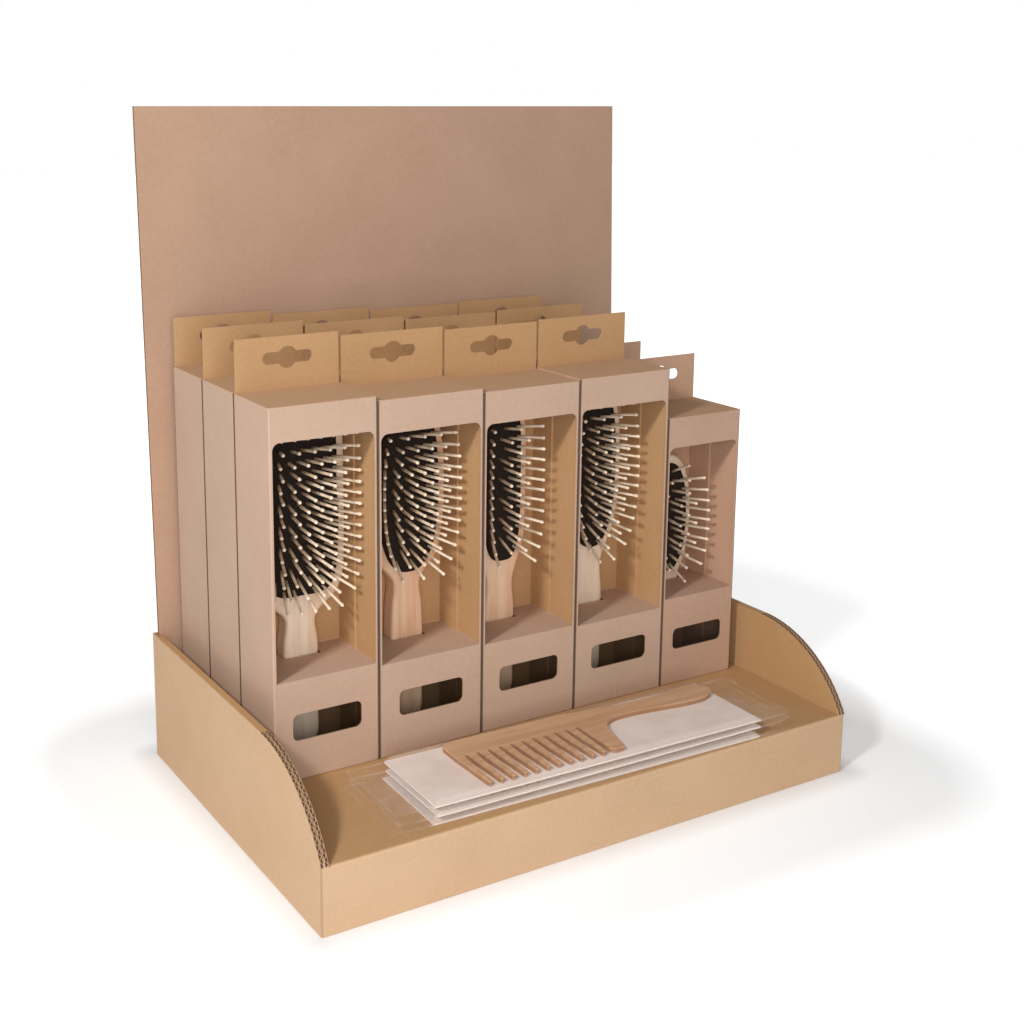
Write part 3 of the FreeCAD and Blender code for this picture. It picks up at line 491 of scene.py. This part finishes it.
# %% Raw edges of the board
BOARD = 0.0024
ARC_RADIUS, DECK_HEIGHT, WALL_HEIGHT = 0.089, 0.042, 0.090
SIDE_PACK, LIFT = 0.0052, 0.00004
EDGE_FLUTE_MM = 5.0
WAVE, PAPER, LINER = 0.36, 0.13, 0.36
HEADER_LEAN = 2.0


def raw_edge_material():
    """The flute is the wave v = 0.5 + WAVE sin(2 pi u / length), PAPER wide to each side of its line.

    The two liners are where v is further than LINER from the board's middle at 0.5.
    All the rest is painted dark brown: painted shade in the hollows.
    """
    material, tree, shader = new_material("cut_corrugated_edge", 0.9, 0.1)
    split = add(tree, "ShaderNodeSeparateXYZ", {0: add(tree, "ShaderNodeUVMap", uv_map="along_and_across")})
    turn = add(tree, "ShaderNodeMath", {0: split.outputs["X"], 1: 2 * math.pi * 1000 / EDGE_FLUTE_MM},
               operation="MULTIPLY")
    wave = add(tree, "ShaderNodeMath", {0: add(tree, "ShaderNodeMath", {0: turn}, operation="SINE"),
                                        1: WAVE, 2: 0.5}, operation="MULTIPLY_ADD")
    off = add(tree, "ShaderNodeMath", {0: split.outputs["Y"], 1: wave}, operation="SUBTRACT")
    beside = add(tree, "ShaderNodeMath", {0: off}, operation="ABSOLUTE")
    line = add(tree, "ShaderNodeMath", {0: beside, 1: PAPER}, operation="LESS_THAN")
    middle = add(tree, "ShaderNodeMath", {0: split.outputs["Y"], 1: 0.5}, operation="SUBTRACT")
    outwards = add(tree, "ShaderNodeMath", {0: middle}, operation="ABSOLUTE")
    liner = add(tree, "ShaderNodeMath", {0: outwards, 1: LINER}, operation="GREATER_THAN")
    paper = add(tree, "ShaderNodeMath", {0: line, 1: liner}, operation="MAXIMUM")
    # Painted shade: the hollows between flute and liners are a dark brown.
    shade = add(tree, "ShaderNodeMix", {0: paper, 6: colour("#5B3F2A"), 7: colour("#B8977A")},
                data_type="RGBA")
    tree.links.new(shade.outputs[2], shader.inputs["Base Color"])
    return material


def ribbon(name, path, across, material):
    """A strip along path, as wide as the vector across, with its length and width kept as a UV map."""
    points = np.concatenate([path, path + across])
    count = len(path)
    first = np.arange(count - 1)
    faces = np.stack([first, first + 1, first + count + 1, first + count], 1)
    piece = new_piece(name, points, faces.tolist(), material, smooth=False)
    run = np.concatenate([[0.0], np.cumsum(np.linalg.norm(np.diff(path, axis=0), axis=1))])
    flat = np.stack([np.tile(run, 2), np.repeat([0.0, 1.0], count)], 1)
    layer = piece.data.uv_layers.new(name="along_and_across")
    layer.data.foreach_set("uv", flat[faces.ravel()].ravel())
    return piece


def wall_arc():
    """The cut edge of a side wall in the YZ plane: a quarter-like arc up to the straight top."""
    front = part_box("tray")[0].y
    run = math.sqrt(ARC_RADIUS ** 2 - (ARC_RADIUS - WALL_HEIGHT + DECK_HEIGHT) ** 2)
    low_end = math.pi - math.asin((DECK_HEIGHT - WALL_HEIGHT + ARC_RADIUS) / ARC_RADIUS)
    turn = np.linspace(low_end, math.pi / 2, 40)
    radius = ARC_RADIUS + LIFT
    return (np.maximum(front + run + radius * np.cos(turn), front),
            np.minimum(WALL_HEIGHT - ARC_RADIUS + radius * np.sin(turn), WALL_HEIGHT + LIFT))


raw_edge = raw_edge_material()
arc_y, arc_z = wall_arc()
low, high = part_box("tray")
boards = {"left_outer": low.x, "left_inner": low.x + SIDE_PACK - BOARD,
          "right_inner": high.x - SIDE_PACK, "right_outer": high.x - BOARD}
for label, x in boards.items():
    path = np.stack([np.full(len(arc_y), x), arc_y, arc_z], 1)
    ribbon(f"cut_edge_{label}", path, np.array((BOARD, 0, 0)), raw_edge)
low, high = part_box("header_panel")
lean = math.radians(HEADER_LEAN)
rise = np.array((0, math.sin(lean), math.cos(lean)))
back = np.array((0, math.cos(lean), -math.sin(lean)))
corners = np.array([v.co[:] for v in nodes["header_panel"].data.vertices])
start, tall = (corners @ rise).min(), np.ptp(corners @ rise)
front = (corners @ back).min()
for label, x in (("left", low.x - LIFT), ("right", high.x + LIFT)):
    foot = np.array((x, 0, 0)) + start * rise + front * back
    path = foot + np.linspace(0, tall, 2)[:, None] * rise
    if label == "left":
        path = path[::-1]
    ribbon(f"cut_edge_header_{label}", path, BOARD * back, raw_edge)

# %% [markdown]
# The combs are packed in sleeves of clear film: a tube pressed flat and sealed at both ends. The film
# lies over the comb, is pulled flat at the seals, and keeps creases that fan out from there. Film is
# seen by its creases and highlights and hardly by its colour. Each sleeve is two sheets: a top one that
# drapes and runs out into the sealed tails, and a flat one under the card.

# %% Film sleeves
PACK_TURNS = (-1.7, -0.9, -1.4)
CARD = (0.246, 0.066)
TAIL, FILM_GAP = 0.026, 0.0005
PACK_RISE = 0.0053
CREASE_ON_COMB, CREASE_ON_TAIL = 0.0003, 0.0016
# The second alpha is for the painted sheen at the creases, folded edges and seals.
FILM_CLEAR, FILM_SHEEN_ALPHA = 0.03, 0.50


def film_material():
    """Clear film, almost see-through; where the sleeve's mask is high, at creases, folded edges and seals, it
    is painted more opaque and pale, a painted sheen.
    """
    material, tree, shader = new_material("clear_polypropylene_film", 0.16, 0.8)
    crease = add(tree, "ShaderNodeAttribute", attribute_name="crease").outputs["Fac"]
    where = add(tree, "ShaderNodeTexCoord").outputs["Object"]
    fine = add(tree, "ShaderNodeTexNoise", {"Vector": where, "Scale": 1000 / 9, "Detail": 3.0})
    relief = add(tree, "ShaderNodeBump", {"Height": fine, "Strength": 0.35, "Distance": 0.001})
    # Painted sheen: the film is more opaque and pale where the sleeve's mask is high.
    sheen_cover = add(tree, "ShaderNodeMapRange", {0: crease, 1: 0.0, 2: 1.0, 3: FILM_CLEAR,
                                             4: FILM_SHEEN_ALPHA})
    shader.inputs["Base Color"].default_value = colour("#F2DDD0")
    tree.links.new(sheen_cover.outputs[0], shader.inputs["Alpha"])
    tree.links.new(relief.outputs[0], shader.inputs["Normal"])
    return material


def creases(x, y, seed):
    """Sharp ridges, each (1 - |sin|)^8 of a slanted wave, that get weaker inwards from the seals."""
    draw = np.random.default_rng(seed)
    height = np.zeros_like(x)
    for k in range(7):
        slant, size = draw.uniform(-0.9, 0.9), draw.uniform(0.018, 0.042)
        wave = (x * math.cos(slant) + y * math.sin(slant) * 2.2) / size + draw.uniform(0, 6.28)
        bend = 0.8 * np.sin(y / 0.017 + draw.uniform(0, 6.28))
        height += (1 - np.abs(np.sin(wave + bend))) ** 8 * draw.uniform(0.3, 1.0)
    edge = np.clip((np.abs(x) - 0.055) / 0.09, 0.15, 1.0)
    return np.clip(height * edge, 0, 1)


def sleeve(level, material):
    """Top height = seal + rise * f(x) * g(y) + creases, with f and g smooth steps inwards from the edges."""
    node = f"comb_sleeve_{level + 1}"
    low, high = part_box(node)
    middle = (low + high) / 2
    half_x, half_y = CARD[0] / 2 + 0.0005 + TAIL, CARD[1] / 2 + 0.0005
    x, y = np.meshgrid(np.linspace(-half_x, half_x, 181), np.linspace(-half_y, half_y, 45))
    step_x = np.clip((half_x - TAIL + 0.003 - np.abs(x)) / 0.008, 0, 1)
    step_y = np.clip((half_y - np.abs(y)) / 0.0025, 0, 1)
    drape = (step_x ** 2 * (3 - 2 * step_x)) * np.sqrt(1 - (1 - step_y) ** 2)
    ridge = creases(x, y, 40 + level)
    tail = np.clip((np.abs(x) - half_x + TAIL) / TAIL, 0, 1)
    top = (FILM_GAP + (PACK_RISE - FILM_GAP - CREASE_ON_COMB) * drape
           + CREASE_ON_COMB * ridge * (1 - tail) + CREASE_ON_TAIL * tail * ridge)
    turn = math.radians(PACK_TURNS[level])
    faces = np.array(sheet_faces(*x.shape))
    sheets = []
    for across, z in ((x, top), (x * (CARD[0] / 2 / half_x), np.full_like(x, 0.0001))):
        sheets.append(np.stack([middle.x + across * math.cos(turn) - y * math.sin(turn),
                                middle.y + across * math.sin(turn) + y * math.cos(turn),
                                low.z + z], 2).reshape(-1, 3))
    faces = np.concatenate([faces, faces[:, ::-1] + x.size]).tolist()
    piece = new_piece(f"film_sleeve_{level + 1}", np.concatenate(sheets), faces, material)
    # Painted sheen: a mask that makes the film more opaque and pale along its creases and folded long edges,
    # where it would catch the light, and at the seals.
    folded = np.exp(-((half_y - np.abs(y)) / 0.0016) ** 2)
    sealed = np.exp(-((half_x - np.abs(x)) / 0.0012) ** 2)
    shown = np.clip(0.28 * ridge * (1 - 0.6 * tail) + 0.95 * folded * (1 - tail) + 0.3 * sealed, 0, 1)
    shade = piece.data.attributes.new("crease", "FLOAT", "POINT")
    shade.data.foreach_set("value", np.tile(shown.ravel(), 2))
    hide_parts(node)
    return piece


film = film_material()
print("film sleeves:", [sleeve(level, film).name for level in range(3)])

# %% [markdown]
# The studio: a white sweep, a small lamp high up at the left side, a broad one at the left front,
# and an even pale room light. The lamps stand close, so the light falls off to the right over the
# goods. The floor glows white to the camera away from the stand, and near it keeps the soft shadow;
# its glow is also lowered all round the tray, which paints a soft shade there.

# %% Floor, lamps and room
# Glow steps by distance from the tray; the low glow close to it paints a soft shade round the stand.
FLOOR_GLOW_AND_SHADE_STEPS = ((0.0, 0.02, 0.05, 0.30), (0.07, 0.13, 0.0, 0.32), (0.25, 0.42, 0.0, 0.40))
FLOOR_HALF, FLOOR_DROP = 8.0, 0.0002
ROOM_LEVEL = 0.25
LAMPS_AIM = (0, 0, 0.15)


def seen_directly(tree):
    """1 for rays from the camera and for those that were mirrored or passed through, else 0."""
    rays = add(tree, "ShaderNodeLightPath")
    through = add(tree, "ShaderNodeMath", {0: rays.outputs["Is Glossy Ray"],
                                           1: rays.outputs["Is Transmission Ray"]}, operation="MAXIMUM")
    return add(tree, "ShaderNodeMath", {0: rays.outputs["Is Camera Ray"], 1: through}, operation="MAXIMUM")


def white_floor():
    """A square sheet just under the tray, whose glow rises in steps with the distance from the tray; the low
    glow near it paints a soft shade all round the tray.

    Each of FLOOR_GLOW_AND_SHADE_STEPS holds two distances and the glow added before the first and after the
    second.
    """
    side, z = FLOOR_HALF, solid_box[0][2] - FLOOR_DROP
    mesh = bpy.data.meshes.new("studio_floor")
    corners = [(-side, -side, z), (side, -side, z), (side, side, z), (-side, side, z)]
    mesh.from_pydata(corners, [], [(0, 1, 2, 3)])
    floor = bpy.data.objects.new("studio_floor", mesh)
    bpy.context.scene.collection.objects.link(floor)
    material, tree, shader = new_material("white_studio_floor", 0.9, 0.3)
    shader.inputs["Base Color"].default_value = colour("#F4F4F4")
    where = add(tree, "ShaderNodeTexCoord").outputs["Object"]
    low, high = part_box("tray")
    reach = add(tree, "ShaderNodeVectorMath", {0: where}, operation="ABSOLUTE")
    over = add(tree, "ShaderNodeVectorMath", {0: reach, 1: (high.x, high.y, 1.0)}, operation="SUBTRACT")
    outside = add(tree, "ShaderNodeVectorMath", {0: over, 1: (0, 0, 0)}, operation="MAXIMUM")
    apart = add(tree, "ShaderNodeVectorMath", {0: outside}, operation="LENGTH").outputs["Value"]
    # Painted shade: the glow is low close to the tray and rises further out.
    level = 0.0
    for near, far, start, end in FLOOR_GLOW_AND_SHADE_STEPS:
        rise = add(tree, "ShaderNodeMapRange", {0: apart, 1: near, 2: far, 3: start, 4: end})
        level = add(tree, "ShaderNodeMath", {0: rise, 1: level}, operation="ADD")
    strength = add(tree, "ShaderNodeMath", {0: seen_directly(tree), 1: level}, operation="MULTIPLY")
    glow = add(tree, "ShaderNodeEmission", {"Strength": strength})
    both = add(tree, "ShaderNodeAddShader", {0: shader, 1: glow})
    output = next(n for n in tree.nodes if n.type == "OUTPUT_MATERIAL")
    tree.links.new(both.outputs[0], output.inputs["Surface"])
    mesh.materials.append(material)


def area_lamp(name, place, aim, size, watts):
    """A square lamp that faces the point aim, with its size in metres and its power in watts."""
    data = bpy.data.lights.new(name, "AREA")
    data.shape, data.size, data.energy = "SQUARE", size, watts
    lamp = bpy.data.objects.new(name, data)
    lamp.location = place
    lamp.rotation_mode = "QUATERNION"
    lamp.rotation_quaternion = (Vector(aim) - Vector(place)).to_track_quat("-Z", "Y")
    bpy.context.scene.collection.objects.link(lamp)


def room_light(level):
    """White to the camera and to reflections, and an even pale light for everything else."""
    world = bpy.data.worlds.new("studio_room")
    world.use_nodes = True
    tree = world.node_tree
    tree.nodes.clear()
    strength = add(tree, "ShaderNodeMapRange", {0: seen_directly(tree), 3: level, 4: 1.0})
    sky = add(tree, "ShaderNodeBackground", {"Color": (1, 1, 1, 1), "Strength": strength})
    add(tree, "ShaderNodeOutputWorld", {"Surface": sky})
    bpy.context.scene.world = world


white_floor()
room_light(ROOM_LEVEL)
area_lamp("side_lamp", (-0.95, -0.5, 0.9), LAMPS_AIM, 0.13, 8.3)
area_lamp("front_lamp", (-0.5, -1.0, 0.4), LAMPS_AIM, 0.6, 5.4)
